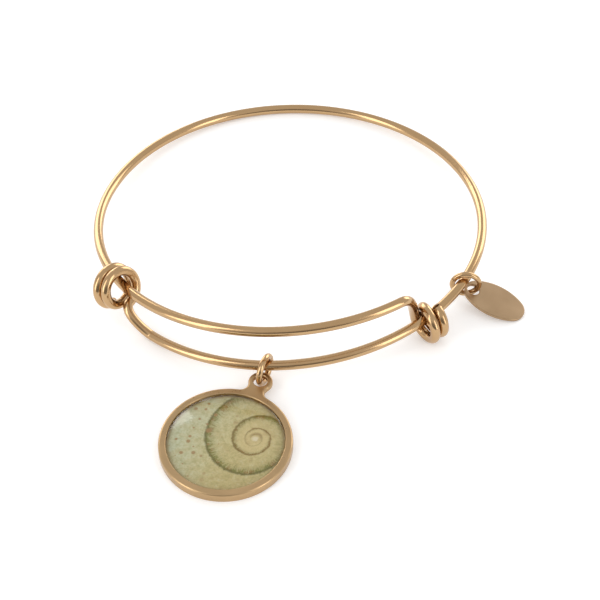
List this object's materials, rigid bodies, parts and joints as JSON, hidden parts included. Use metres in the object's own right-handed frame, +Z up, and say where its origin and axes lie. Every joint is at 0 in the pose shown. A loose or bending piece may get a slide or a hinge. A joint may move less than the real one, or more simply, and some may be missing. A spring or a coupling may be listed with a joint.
{
  "type": "charm bangle",
  "caption": "Expandable wire bangle, coiled at each end round its own overlap, with a domed round charm and a small oval tag hanging from it on jump rings.",
  "frame": {"origin": "on the surface the bangle lies on, under the middle of the ring", "axes": "+Z up, out of the ring; -Y toward the overlap and the charm; +X to the right, toward the tag"},
  "size_m": [0.073, 0.0901, 0.0118],
  "materials": {
    "gold_wire": "polished, plated in a warm gold tone",
    "satin_gold": "satin, plated in a warm gold tone",
    "print": "printed picture under the dome",
    "clear_dome": "clear and polished"
  },
  "bodies": {
    "root": {"bangle_wire": "gold_wire", "charm_ring": "gold_wire", "charm_frame": "satin_gold", "charm_print": "print", "charm_dome": "clear_dome", "tag_ring": "gold_wire", "oval_tag": "satin_gold"}
  },
  "joints": []
}
